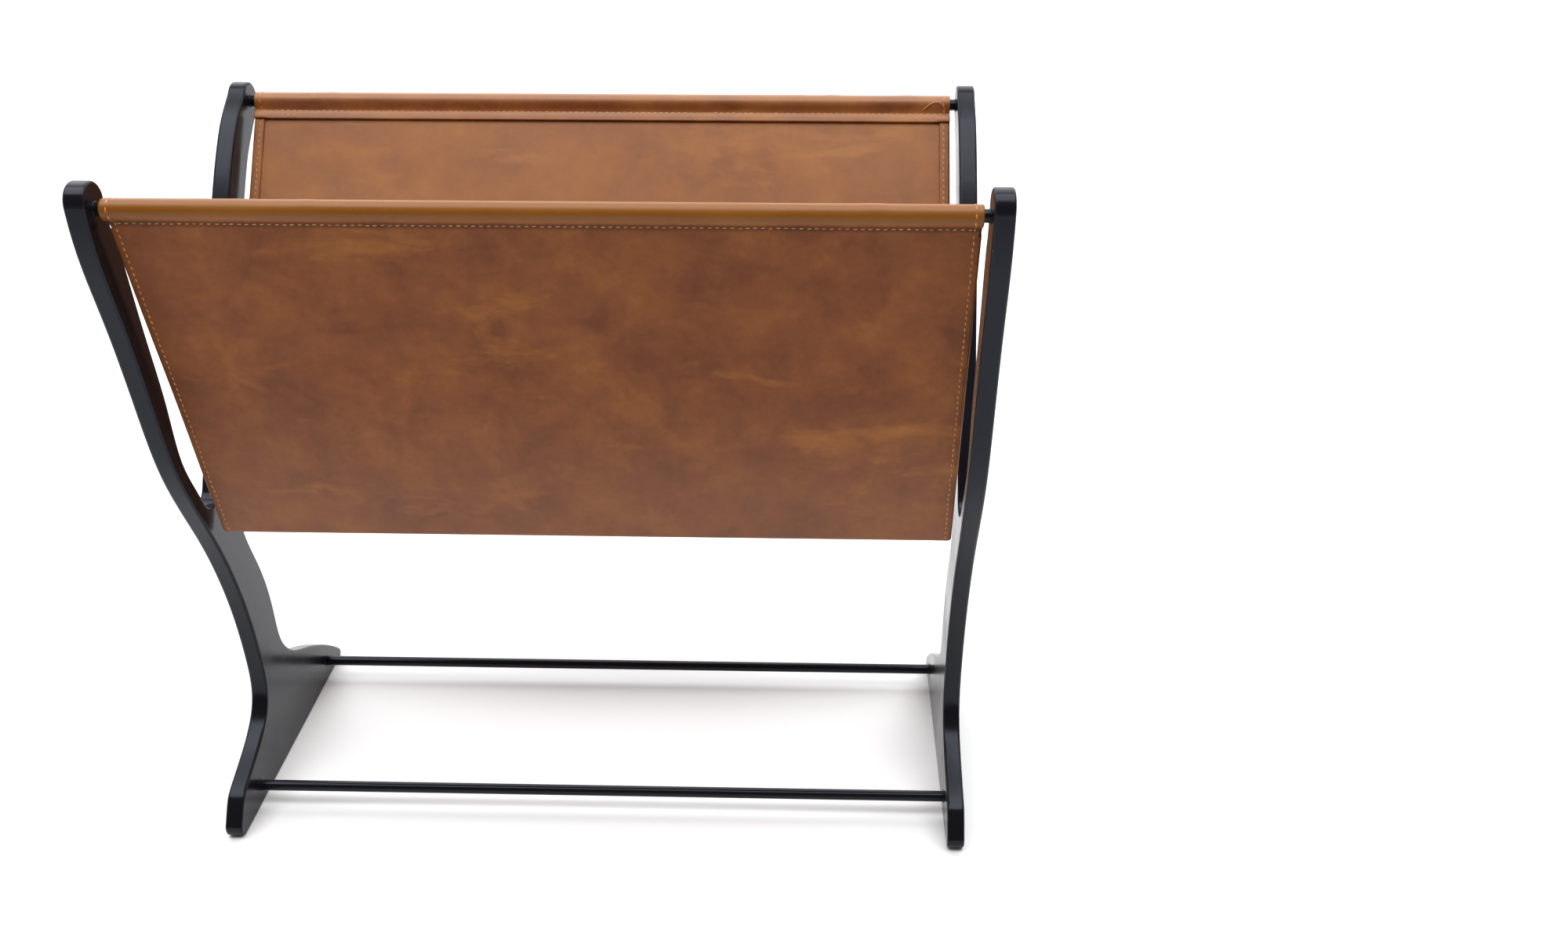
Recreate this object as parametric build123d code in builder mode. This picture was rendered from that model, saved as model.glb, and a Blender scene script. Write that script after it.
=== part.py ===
from build123d import *
import math
import os

# Magazine rack: two flat end frames, four rods and a leather sling.
# Millimetres. X runs along the rods, -Y is the front, +Z is up.
# The origin is on the floor, in the middle of the rack.

# ---------------------------------------------------------------- driving dimensions
rack_length = 430.0          # over the outer faces of the end frames
plate = 10.0                 # thickness of an end frame
edge_round = 1.4             # softened edges of an end frame
tip_radius = 10.0            # rounded ends of the two arms

rod_dia = 6.35
rod_seat = 2.0               # depth of the blind seat that takes a rod's end
seat_play = 0.10             # radial play of a rod in its seat
screw_dia = 3.9
screw_hole_dia = 4.3
screw_length = 20.0
head_dia = 7.8
head_depth = 2.1
key_across_flats = 2.5
key_depth = 1.5
tap_dia = 4.0                # tapped hole in a rod's end
tap_depth = 14.0

# rod centres as (Y, Z)
front_top = (-100.5, 381.0)
rear_top = (100.5, 385.0)
front_low = (-61.5, 13.3)
rear_low = (68.0, 13.3)

leather = 1.6                # thickness of one layer
sleeve_radius = 5.2          # outer radius of a sewn sleeve
sling_gap = 3.5              # from the sling's side edge to an end frame
fold_radius = 3.0            # outer radius of the fold at the bottom
fold_point = (-48.0, 176.9)  # where the outer faces of the two panels would meet
flap_end = 11.6              # from a rod's centre to the lower edge of its sleeve's flap
sleeve_seam = 6.6            # from a rod's centre down to the seam that closes its sleeve
hem_width = 6.0              # turned-in strip along each side edge
hem_depth = 3.0              # from the outer face to the inside of the pressed hem
hem_overlap = 0.2            # how far the hem is fused into the panel
hem_seam = 3.6               # from a side edge to its seam
thread = 0.5                 # thickness of a seam's thread

inner_x = rack_length / 2 - plate
sling_half = inner_x - sling_gap

# ---------------------------------------------------------------- end frame outline
# Rounded corners as (centre Y, centre Z, radius), with the angles where their arcs begin and end.
front_tip = (-100.5, 384.0, tip_radius)
front_tip_angles = (0.0, 180.0)
front_toe = (-88.4, 6.0, 6.0)
front_toe_angles = (146.0, 270.0)
rear_toe = (91.3, 3.5, 3.5)
rear_toe_angles = (-90.0, 46.0)
rear_tip = (100.5, 385.8, tip_radius)
rear_tip_angles = (-50.0, 130.0)
crotch = (-46.0, 207.6, 11.0)
crotch_angles = (-31.0, -157.0)

# Points on the edges between those corners, as (Y, Z), in order round the outline.
front_edge = [
    (-109.0, 364.0),
    (-99.5, 325.0),
    (-89.0, 276.0),
    (-78.5, 231.0),
    (-52.5, 175.0),
    (-35.0, 126.0),
    (-27.5, 80.0),
    (-30.5, 52.0),
    (-54.5, 34.0),
    (-80.5, 24.0),
]
rear_edge = [
    (84.0, 14.5),
    (43.5, 41.5),
    (17.5, 57.5),
    (6.0, 72.0),
    (2.5, 97.0),
    (-5.5, 134.0),
    (-17.0, 168.0),
    (-12.0, 201.0),
    (0.5, 224.0),
    (21.0, 257.0),
    (47.5, 305.0),
    (78.0, 350.5),
]
rear_arm_top_edge = [
    (80.0, 383.5),
    (60.5, 364.0),
    (28.0, 316.0),
    (2.0, 267.0),
    (-17.5, 235.0),
]
front_arm_back_edge = [
    (-70.0, 235.0),
    (-73.5, 267.0),
    (-80.5, 316.0),
    (-88.0, 364.0),
]


def corner(circle, angles):
    """The arc of one rounded corner, turning the way its angles run."""
    return CenterArc(circle[:2], circle[2], angles[0], angles[1] - angles[0])


def flowing_edge(before, points, after):
    """A curve through the points that leaves one arc and meets the next without a kink."""
    return Spline(before @ 1, *points, after @ 0, tangents=(before % 1, after % 0))


def end_frame(side):
    """One end frame, standing in the YZ plane; side is 1 for the right and -1 for the left."""
    inner = Plane.YZ.offset(side * inner_x)
    outer = Plane.YZ.offset(side * rack_length / 2)
    rods = [front_top, rear_top, front_low, rear_low]
    with BuildPart() as frame:
        with BuildSketch(inner):
            with BuildLine():
                front_cap = corner(front_tip, front_tip_angles)
                front_foot = corner(front_toe, front_toe_angles)
                rear_foot = corner(rear_toe, rear_toe_angles)
                rear_cap = corner(rear_tip, rear_tip_angles)
                fork = corner(crotch, crotch_angles)
                flowing_edge(front_cap, front_edge, front_foot)
                Line(front_foot @ 1, rear_foot @ 0)
                flowing_edge(rear_foot, rear_edge, rear_cap)
                flowing_edge(rear_cap, rear_arm_top_edge, fork)
                flowing_edge(fork, front_arm_back_edge, front_cap)
            make_face()
        extrude(amount=side * plate)
        fillet(frame.faces().filter_by(Axis.X).edges(), edge_round)
        with BuildSketch(inner):
            with Locations(*rods):
                Circle(rod_dia / 2 + seat_play)
        extrude(amount=side * rod_seat, mode=Mode.SUBTRACT)
        with BuildSketch(inner):
            with Locations(*rods):
                Circle(screw_hole_dia / 2)
        extrude(amount=side * plate, mode=Mode.SUBTRACT)
        with BuildSketch(outer):
            with Locations(*rods):
                Circle(head_dia / 2 + 0.2)
        taper = math.degrees(math.atan((head_dia - screw_dia) / 2 / head_depth))
        extrude(amount=-side * (head_depth + 0.1), taper=taper, mode=Mode.SUBTRACT)
    return frame.part


right_end_frame = end_frame(1)
left_end_frame = end_frame(-1)


# ---------------------------------------------------------------- rods and their screws
def rod(centre):
    """A round rod with a tapped hole in each end, seated in both end frames."""
    length = 2 * (inner_x + rod_seat)
    ends = [Plane.YZ.offset(side * length / 2) for side in (1, -1)]
    with BuildPart() as bar:
        with BuildSketch(Plane.YZ.offset(-length / 2)):
            with Locations(centre):
                Circle(rod_dia / 2)
        extrude(amount=length)
        chamfer(bar.edges().filter_by(GeomType.CIRCLE), 0.4)
        for side, end in zip((1, -1), ends):
            with BuildSketch(end):
                with Locations(centre):
                    Circle(tap_dia / 2)
            extrude(amount=-side * tap_depth, mode=Mode.SUBTRACT)
    return bar.part


def screw(centre, side):
    """A countersunk screw with a hexagon socket, its head flush with the outer face."""
    outer = Plane.YZ.offset(side * rack_length / 2)
    with BuildPart() as fastener:
        with BuildSketch(outer):
            with Locations(centre):
                Circle(screw_dia / 2)
        extrude(amount=-side * screw_length)
        with BuildSketch(outer):
            with Locations(centre):
                Circle(head_dia / 2)
        extrude(amount=-side * head_depth, taper=math.degrees(math.atan((head_dia - screw_dia) / 2 / head_depth)))
        with BuildSketch(outer):
            with Locations(centre):
                RegularPolygon(key_across_flats / 2, 6, major_radius=False)
        extrude(amount=-side * key_depth, mode=Mode.SUBTRACT)
    return fastener.part


rod_centres = {
    "front_top": front_top,
    "rear_top": rear_top,
    "front_lower": front_low,
    "rear_lower": rear_low,
}
rods = {name: rod(centre) for name, centre in rod_centres.items()}
screws = {}
for name, centre in rod_centres.items():
    screws["right_" + name] = screw(centre, 1)
    screws["left_" + name] = screw(centre, -1)


# ---------------------------------------------------------------- leather sling
def panel_axes(centre, turn):
    """Unit vectors of one panel: down along it, and square to it into the pocket.

    The panel's outer face leaves its sleeve without a kink and runs to the fold point.
    turn is 1 for the front panel and -1 for the rear one.
    """
    to_fold = Vector(fold_point[0] - centre[0], fold_point[1] - centre[1])
    lean = math.degrees(math.asin(sleeve_radius / to_fold.length))
    down = to_fold.normalized().rotate(Axis.Z, turn * lean)
    inward = down.rotate(Axis.Z, turn * 90)
    return down, inward


def panel_point(centre, turn, drop, depth):
    """A point of a panel: drop below its rod's centre, depth inside its outer face."""
    down, inward = panel_axes(centre, turn)
    return Vector(*centre) + down * drop + inward * (depth - sleeve_radius)


def fold_corner(depth):
    """Where the two panels would meet without a fold, at one depth inside their outer faces."""
    down_front, inward_front = panel_axes(front_top, 1)
    down_rear, inward_rear = panel_axes(rear_top, -1)
    half_angle = math.radians(down_front.get_angle(down_rear) / 2)
    return Vector(*fold_point) + (inward_front + inward_rear).normalized() * (depth / math.sin(half_angle))


def round_the_fold(depth, drop):
    """A line down the front panel, round the fold and up the rear panel, at one depth."""
    return FilletPolyline(
        panel_point(front_top, 1, drop, depth),
        fold_corner(depth),
        panel_point(rear_top, -1, drop, depth),
        radius=max(fold_radius - depth, 0.3),
    )


def band(outer_depth, inner_depth, drop):
    """Draw a strip that follows both panels between two depths."""
    outside = round_the_fold(outer_depth, drop)
    inside = round_the_fold(inner_depth, drop)
    Line(outside @ 0, inside @ 0)
    Line(outside @ 1, inside @ 1)


def sleeve(centre, turn):
    """Draw one sleeve from the panel's outer face over the rod and down its flap."""
    inward = panel_axes(centre, turn)[1]
    lip = math.sqrt(sleeve_radius ** 2 - (sleeve_radius - 2 * leather) ** 2)
    lip_point = panel_point(centre, turn, lip, 2 * leather)
    ThreePointArc(panel_point(centre, turn, 0, 0), Vector(*centre) + inward * sleeve_radius, lip_point)
    Polyline(
        lip_point,
        panel_point(centre, turn, flap_end, 2 * leather),
        panel_point(centre, turn, flap_end, leather),
    )


with BuildPart() as leather_sling:
    with BuildSketch(Plane.YZ.offset(-sling_half)):
        with BuildLine():
            round_the_fold(0, 0)
            sleeve(front_top, 1)
            round_the_fold(leather, flap_end)
            sleeve(rear_top, -1)
        make_face()
        with Locations(front_top, rear_top):
            Circle(sleeve_radius - leather, mode=Mode.SUBTRACT)
    extrude(amount=2 * sling_half)
    for start in (-sling_half, sling_half - hem_width):
        with BuildSketch(Plane.YZ.offset(start)):
            with BuildLine():
                band(leather - hem_overlap, hem_depth, flap_end - 1)
            make_face()
        extrude(amount=hem_width)


# ---------------------------------------------------------------- seams of the sling
def hem_seam_thread(side):
    """The thread along one side hem, outside and inside the sling."""
    with BuildPart() as seam:
        with BuildSketch(Plane.YZ.offset(side * (sling_half - hem_seam) - thread / 2)):
            for depth, drop in ((-thread, flap_end), (hem_depth, flap_end + 1)):
                with BuildLine():
                    band(depth, depth + thread, drop)
                make_face()
        extrude(amount=thread)
    return seam.part


def sleeve_seam_thread(centre, turn):
    """The thread that closes one sleeve, outside and inside the sling."""
    half = sling_half - hem_width
    with BuildPart() as seam:
        with BuildSketch(Plane.YZ.offset(-half)):
            for depth in (-thread, 2 * leather):
                with BuildLine():
                    Polyline(
                        panel_point(centre, turn, sleeve_seam, depth),
                        panel_point(centre, turn, sleeve_seam + thread, depth),
                        panel_point(centre, turn, sleeve_seam + thread, depth + thread),
                        panel_point(centre, turn, sleeve_seam, depth + thread),
                        close=True,
                    )
                make_face()
        extrude(amount=2 * half)
    return seam.part


# ---------------------------------------------------------------- labels and files
pieces = {
    "right_end_frame": right_end_frame,
    "left_end_frame": left_end_frame,
    "leather_sling": leather_sling.part,
    "front_sleeve_stitching": sleeve_seam_thread(front_top, 1),
    "rear_sleeve_stitching": sleeve_seam_thread(rear_top, -1),
    "right_hem_stitching": hem_seam_thread(1),
    "left_hem_stitching": hem_seam_thread(-1),
}
for name, bar in rods.items():
    pieces[name + "_rod"] = bar
for name, fastener in screws.items():
    pieces[name + "_screw"] = fastener

os.makedirs("parts", exist_ok=True)
for name, piece in pieces.items():
    piece.label = name
    export_step(piece, f"parts/{name}.step")
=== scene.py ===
"""Magazine rack: two lacquered end frames, four rods and a stitched leather sling.

Metres. X runs along the rods, -Y is the front and +Z is up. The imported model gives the
end frames, rods and screws; the leather and its sewing are modelled here.
"""

import logging
import math
from dataclasses import dataclass, field
from enum import Enum

import bpy
import numpy as np
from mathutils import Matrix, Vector

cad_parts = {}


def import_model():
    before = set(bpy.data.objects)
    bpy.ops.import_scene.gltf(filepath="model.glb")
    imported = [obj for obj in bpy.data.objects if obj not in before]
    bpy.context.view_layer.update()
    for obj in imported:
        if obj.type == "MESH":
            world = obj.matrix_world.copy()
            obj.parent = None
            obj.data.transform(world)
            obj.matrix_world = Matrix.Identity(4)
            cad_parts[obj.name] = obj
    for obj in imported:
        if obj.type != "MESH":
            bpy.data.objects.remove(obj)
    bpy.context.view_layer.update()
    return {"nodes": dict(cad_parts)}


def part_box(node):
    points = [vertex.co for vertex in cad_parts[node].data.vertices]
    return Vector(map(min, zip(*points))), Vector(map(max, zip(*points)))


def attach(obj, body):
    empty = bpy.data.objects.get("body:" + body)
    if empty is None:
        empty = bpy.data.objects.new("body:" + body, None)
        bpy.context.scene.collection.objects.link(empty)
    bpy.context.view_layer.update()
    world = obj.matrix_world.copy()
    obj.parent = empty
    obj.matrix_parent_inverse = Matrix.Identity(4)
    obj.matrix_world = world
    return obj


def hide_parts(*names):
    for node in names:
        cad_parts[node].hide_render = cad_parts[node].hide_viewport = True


log = logging.getLogger("magazine_rack")

Array = np.ndarray
Piece = bpy.types.Object
Material = bpy.types.Material
Tree = bpy.types.NodeTree
Socket = bpy.types.NodeSocket
StitchRow = tuple[Array, Array, Array]  # middles, directions and outward normals

MM = 0.001
BODY = "root"
UV_NAME = "cut_pattern"
UV_METRES = 0.6  # one UV unit is this much of the cut leather

FRAME_NODES = ("right_end_frame", "left_end_frame")
ROD_NODES = ("front_top_rod", "rear_top_rod", "front_lower_rod", "rear_lower_rod")

# sockets of a colour Mix node
MIX_FACTOR, MIX_A, MIX_B, MIX_RESULT = 0, 6, 7, 2


# ---------------------------------------------------------------- small helpers
def linear_colour(hex_code: str) -> tuple[float, float, float, float]:
    """Turn an sRGB hex colour into a linear one.

    Args:
        hex_code: the colour as "#RRGGBB".

    Returns:
        Linear red, green and blue, with an alpha of 1.
    """
    parts = [int(hex_code[i : i + 2], 16) / 255 for i in (1, 3, 5)]
    linear = [c / 12.92 if c <= 0.04045 else ((c + 0.055) / 1.055) ** 2.4 for c in parts]
    return (linear[0], linear[1], linear[2], 1.0)


def add_node(tree: Tree, kind: str, inputs: dict | None = None, **settings) -> bpy.types.Node:
    """Add one shader node with its settings, values and links.

    Args:
        tree: the node tree that takes the node.
        kind: the node's type, without its "ShaderNode" prefix.
        inputs: input name or index to an output socket, which is linked, or to a plain value.
        settings: the node's own properties.

    Returns:
        The new node.
    """
    node = tree.nodes.new("ShaderNode" + kind)
    for name, value in settings.items():
        setattr(node, name, value)
    for name, value in (inputs or {}).items():
        if isinstance(value, Socket):
            tree.links.new(value, node.inputs[name])
        else:
            node.inputs[name].default_value = value
    return node


def new_material(name: str) -> tuple[Material, Tree]:
    """Start an empty node material and return it with its tree."""
    material = bpy.data.materials.new(name)
    material.use_nodes = True
    material.node_tree.nodes.clear()
    return material, material.node_tree


def ramp(tree: Tree, value: Socket, stops: list[tuple[float, str]]) -> Socket:
    """Turn a value into a colour.

    Args:
        tree: the node tree.
        value: the value, from 0 to 1.
        stops: (position, sRGB hex colour) pairs, in order.

    Returns:
        The colour socket.
    """
    node = add_node(tree, "ValToRGB", {"Fac": value})
    elements = node.color_ramp.elements
    for i, (position, hex_code) in enumerate(stops):
        stop = elements[i] if i < 2 else elements.new(position)
        stop.position = position
        stop.color = linear_colour(hex_code)
    return node.outputs["Color"]


def deselect_all() -> None:
    """Leave edit mode, if it is on, and deselect every object."""
    if bpy.context.object is not None and bpy.context.object.mode != "OBJECT":
        bpy.ops.object.mode_set(mode="OBJECT")
    bpy.ops.object.select_all(action="DESELECT")


def activate(obj: Piece) -> None:
    """Make one object the only selected and active one."""
    deselect_all()
    obj.select_set(True)
    bpy.context.view_layer.objects.active = obj


def dress(obj: Piece, material: Material) -> None:
    """Give an object one material in all its slots."""
    if not obj.material_slots:
        obj.data.materials.append(material)
    for material_slot in obj.material_slots:
        material_slot.material = material


def get_points(obj: Piece) -> Array:
    """Return an object's vertex places as an (n, 3) array."""
    flat = np.empty(len(obj.data.vertices) * 3)
    obj.data.vertices.foreach_get("co", flat)
    return flat.reshape(-1, 3)


def set_points(obj: Piece, points: Array) -> None:
    """Move an object's vertices to new places."""
    obj.data.vertices.foreach_set("co", np.ascontiguousarray(points, float).ravel())
    obj.data.update()


def new_grid(name: str, across: int, along: int) -> tuple[Piece, Array, Array]:
    """Add a flat grid with a number of faces across and along.

    Returns:
        The grid, and the column and the row of each of its points.
    """
    deselect_all()
    bpy.ops.mesh.primitive_grid_add(x_subdivisions=across, y_subdivisions=along, size=1.0)
    grid = bpy.context.object
    grid.name = name
    flat = get_points(grid)
    column = np.rint((flat[:, 0] + 0.5) * across).astype(int)
    row = np.rint((flat[:, 1] + 0.5) * along).astype(int)
    return grid, column, row


def unit(vectors: Array) -> Array:
    """Return rows of vectors scaled to a length of 1."""
    return vectors / np.linalg.norm(vectors, axis=1)[:, None]


def join_into(obj: Piece, others: list[Piece]) -> None:
    """Join other objects into one and leave it active."""
    activate(obj)
    for other in others:
        other.select_set(True)
    bpy.ops.object.join()


def smooth_by_angle(obj: Piece, degrees: float) -> None:
    """Shade an object smooth, with edges sharper than an angle left crisp."""
    activate(obj)
    bpy.ops.object.shade_smooth_by_angle(angle=math.radians(degrees))


def ease(value: Array | float) -> Array | float:
    """Clamp to the range 0 to 1 and smooth both ends."""
    t = np.clip(value, 0.0, 1.0)
    return t * t * (3 - 2 * t)


def bezier(start: Array, start_handle: Array, end_handle: Array, end: Array, count: int) -> Array:
    """Points along a cubic curve.

    Args:
        start: the first point.
        start_handle: the handle that the curve leaves towards.
        end_handle: the handle that it arrives from.
        end: the last point.
        count: how many points to return.

    Returns:
        (count, 2) array that begins at start and finishes at end.
    """
    t = np.linspace(0, 1, count)[:, None]
    return (
        (1 - t) ** 3 * start
        + 3 * (1 - t) ** 2 * t * start_handle
        + 3 * (1 - t) * t**2 * end_handle
        + t**3 * end
    )


def noise(
    tree: Tree,
    place: Socket,
    size_mm: float,
    detail: float,
    roughness: float = 0.5,
    distortion: float = 0.0,
) -> Socket:
    """Add a noise pattern.

    Args:
        tree: the node tree that takes it.
        place: coordinates in metres.
        size_mm: the size of its largest forms.
        detail: how many finer layers it has.
        roughness: how strong the finer layers are.
        distortion: how far its forms are pulled about.

    Returns:
        The pattern's value, from 0 to 1.
    """
    inputs = {"Vector": place, "Scale": 1 / (size_mm * MM), "Detail": detail}
    inputs |= {"Roughness": roughness, "Distortion": distortion}
    return add_node(tree, "TexNoise", inputs).outputs["Fac"]


def rescale(
    tree: Tree,
    value: Socket,
    given: tuple[float, float],
    wanted: tuple[float, float] = (0.0, 1.0),
    interpolation: str = "LINEAR",
) -> Socket:
    """Turn one range of a value into another, held at both ends.

    Args:
        tree: the node tree.
        value: the value.
        given: its first and last value that count, which may fall.
        wanted: what they become.
        interpolation: the node's kind of interpolation.

    Returns:
        The new value.
    """
    inputs = {"Value": value, "From Min": given[0], "From Max": given[1]}
    inputs |= {"To Min": wanted[0], "To Max": wanted[1]}
    return add_node(tree, "MapRange", inputs, interpolation_type=interpolation).outputs["Result"]


def rise_along(
    tree: Tree,
    vector: Socket,
    axis: str,
    ends: tuple[float, float],
    most: float = 1.0,
) -> Socket:
    """Rise from 0 to a value while one axis of a vector goes from the first end to the second."""
    part = add_node(tree, "SeparateXYZ", {"Vector": vector}).outputs[axis]
    return rescale(tree, part, ends, (0.0, most), "SMOOTHSTEP")


def multiply(tree: Tree, one: Socket, other: Socket | float) -> Socket:
    """Multiply two values, such as two masks."""
    return add_node(tree, "Math", {0: one, 1: other}, operation="MULTIPLY").outputs["Value"]


def tint(
    tree: Tree,
    colour: Socket | tuple[float, float, float, float],
    mask: Socket,
    hex_code: str,
) -> Socket:
    """Blend a colour towards another where a mask is set."""
    inputs = {MIX_FACTOR: mask, MIX_A: colour, MIX_B: linear_colour(hex_code)}
    return add_node(tree, "Mix", inputs, data_type="RGBA").outputs[MIX_RESULT]


def bump(tree: Tree, height: Socket, strength: float, depth_mm: float, over: Socket | None = None) -> Socket:
    """Turn a height pattern into a normal, on top of another normal if there is one."""
    inputs = {"Height": height, "Strength": strength, "Distance": depth_mm * MM}
    if over is not None:
        inputs["Normal"] = over
    return add_node(tree, "Bump", inputs).outputs["Normal"]


def cover(tree: Tree, inputs: dict) -> None:
    """Finish a material with one surface shader.

    Args:
        tree: the material's node tree.
        inputs: the shader's inputs, as add_node takes them.
    """
    shader = add_node(tree, "BsdfPrincipled", inputs)
    add_node(tree, "OutputMaterial", {"Surface": shader.outputs["BSDF"]})


# ---------------------------------------------------------------- finishes
@dataclass(frozen=True)
class StovedLacquer:
    """Black stoved lacquer on steel: a glossy coat with a faint ripple and a few dust nibs."""

    name: str = "black_stoved_lacquer"
    colour: str = "#131216"
    dust_colour: str = "#8C8A88"
    mirror_tint: str = "#E4ECFF"
    mirror_level: float = 0.27
    roughness: float = 0.20
    ior: float = 1.45
    smear_mm: float = 45.0
    ripple_mm: float = 5.0
    dust_mm: float = 12.0
    dust_share: float = 0.022

    def make(self) -> Material:
        """Build the lacquer's nodes and return the material."""
        material, tree = new_material(self.name)
        place = add_node(tree, "TexCoord").outputs["Object"]
        smears = noise(tree, place, self.smear_mm, 5.0, 0.6)
        ripple = noise(tree, place, self.ripple_mm, 1.0)
        nibs = add_node(tree, "TexVoronoi", {"Vector": place, "Scale": 1 / (self.dust_mm * MM)})
        dust = rescale(tree, nibs.outputs["Distance"], (self.dust_share, self.dust_share * 0.5), (0.0, 0.6))
        inputs = {
            "Base Color": tint(tree, linear_colour(self.colour), dust, self.dust_colour),
            "Roughness": rescale(tree, smears, (0.3, 0.7), (self.roughness - 0.04, self.roughness + 0.08)),
            "Normal": bump(tree, ripple, 0.12, 0.12),
            "IOR": self.ior,
            "Specular IOR Level": self.mirror_level,
            "Specular Tint": linear_colour(self.mirror_tint),
        }
        cover(tree, inputs)
        return material


@dataclass(frozen=True)
class BlackOxide:
    """Black oxide on a steel screw: dark, slightly oily and duller than lacquer."""

    name: str = "black_oxide_steel"
    colour: str = "#202022"
    worn_colour: str = "#4A4A4C"
    roughness: float = 0.38
    grain_mm: float = 0.6

    def make(self) -> Material:
        """Build the screw's nodes and return the material."""
        material, tree = new_material(self.name)
        place = add_node(tree, "TexCoord").outputs["Object"]
        wear = noise(tree, place, self.grain_mm, 3.0)
        inputs = {
            "Base Color": ramp(tree, wear, [(0.45, self.colour), (0.80, self.worn_colour)]),
            "Metallic": 0.8,
            "Roughness": self.roughness,
            "Normal": bump(tree, wear, 0.2, 0.02),
        }
        cover(tree, inputs)
        return material


@dataclass(frozen=True)
class PullUpLeather:
    """Waxed pull-up cowhide: oils drawn through the hide leave tan clouds on a red-brown ground.

    Hands have rubbed the sleeves smooth and the front one amber. Faces that look up get a painted paler
    tone of top light, the front panel a painted grey sheen near the fold, and its seam a painted shadow
    line.
    """

    name: str = "waxed_pull_up_leather"
    deep: str = "#6E3D22"
    ground: str = "#7E4827"
    cloud: str = "#8C552B"
    streak: str = "#AE6E30"
    rubbed: str = "#7E4B0D"
    # painted sheen: a greyish reflection blended in near the bottom of the front panel
    painted_sheen: str = "#96796B"
    # painted light: faces that look up are blended towards this paler tone, as if lit from above
    painted_top_light: str = "#A9805F"
    # painted shadow: the dark line under the front sleeve, where the seam is tucked in
    painted_seam_shadow: str = "#40251A"
    roughness: float = 0.48
    rubbed_smoother: float = 0.16
    sheen_level: float = 0.15
    rubbed_sheen_level: float = 0.30
    cloud_mm: float = 30.0
    streak_mm: float = 26.0
    streak_lean: float = 28.0
    streak_scale: tuple[float, float, float] = (0.36, 1.0, 1.0)
    mottle_mm: float = 6.0
    wax_mm: float = 30.0
    crease_mm: float = 2.6  # real creases are about 1 mm apart, too fine to show
    pore_mm: float = 0.8
    # where each mask begins and is full, in metres or as a share of facing up
    sleeve_z: tuple[float, float] = (0.374, 0.381)
    front_y: tuple[float, float] = (0.0, -0.05)
    # heights over which the painted sheen fades in
    painted_sheen_z: tuple[float, float] = (0.30, 0.18)
    # heights that bound the painted shadow under the front sleeve
    seam_shadow_lower_z: tuple[float, float] = (0.3720, 0.3745)
    below_sleeve_z: tuple[float, float] = (0.3770, 0.3750)
    # share of facing up over which the painted top light fades in
    top_light_facing: tuple[float, float] = (0.25, 0.75)

    def hide(self, tree: Tree, place: Socket) -> Socket:
        """Mix the leather's ground, clouds, streaks and fine mottle.

        Args:
            tree: the material's node tree.
            place: coordinates in metres.

        Returns:
            The colour socket.
        """
        clouds = noise(tree, place, self.cloud_mm, 6.0, 0.55, 0.3)
        ground = ramp(tree, clouds, [(0.31, self.deep), (0.50, self.ground), (0.70, self.cloud)])
        lean = (0.0, math.radians(self.streak_lean), 0.0)
        leaning = add_node(tree, "Mapping", {"Vector": place, "Rotation": lean, "Scale": self.streak_scale})
        rubs = noise(tree, leaning.outputs["Vector"], self.streak_mm, 4.0, 0.6, 0.4)
        with_rubs = tint(tree, ground, rescale(tree, rubs, (0.57, 0.78), (0.0, 0.65)), self.streak)
        mottle = noise(tree, place, self.mottle_mm, 4.0, 0.65)
        shade = rescale(tree, mottle, (0.3, 0.7), (0.90, 1.08))
        return add_node(tree, "HueSaturation", {"Color": with_rubs, "Value": shade}).outputs["Color"]

    def use(self, tree: Tree, place: Socket, rubbed: Socket) -> Socket:
        """Lay the marks of use, and the painted top light, sheen and shadow, over the hide's own colour.

        Args:
            tree: the material's node tree.
            place: coordinates in metres.
            rubbed: the mask of the two sleeves.

        Returns:
            The colour socket.
        """
        normal = add_node(tree, "TexCoord").outputs["Normal"]
        front = rise_along(tree, place, "Y", self.front_y)
        # painted light: paler where the surface faces up
        top_light_mask = rise_along(tree, normal, "Z", self.top_light_facing, 0.42)
        # painted sheen: greyer towards the bottom of the front panel
        low = rise_along(tree, place, "Z", self.painted_sheen_z, 0.20)
        # painted shadow: a dark band on the front panel just under its sleeve
        seam_shadow_lower = rise_along(tree, place, "Z", self.seam_shadow_lower_z)
        below_sleeve = rise_along(tree, place, "Z", self.below_sleeve_z, 0.7)
        colour = tint(tree, self.hide(tree, place), top_light_mask, self.painted_top_light)
        colour = tint(tree, colour, multiply(tree, low, front), self.painted_sheen)
        colour = tint(tree, colour, multiply(tree, multiply(tree, rubbed, front), 0.82), self.rubbed)
        # painted shadow mask, on the front panel only
        painted_seam_shadow = multiply(tree, multiply(tree, seam_shadow_lower, below_sleeve), front)
        return tint(tree, colour, painted_seam_shadow, self.painted_seam_shadow)

    def relief(self, tree: Tree, place: Socket) -> Socket:
        """Add the hide's creases and pores.

        Args:
            tree: the material's node tree.
            place: coordinates in metres.

        Returns:
            The normal socket.
        """
        inputs = {"Vector": place, "Scale": 1 / (self.crease_mm * MM), "Randomness": 1.0}
        creases = add_node(tree, "TexVoronoi", inputs, feature="DISTANCE_TO_EDGE")
        crease_height = rescale(tree, creases.outputs["Distance"], (0.0, 0.12))
        pores = noise(tree, place, self.pore_mm, 3.0, 0.7)
        return bump(tree, pores, 0.22, 0.08, over=bump(tree, crease_height, 0.16, 0.05))

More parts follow.
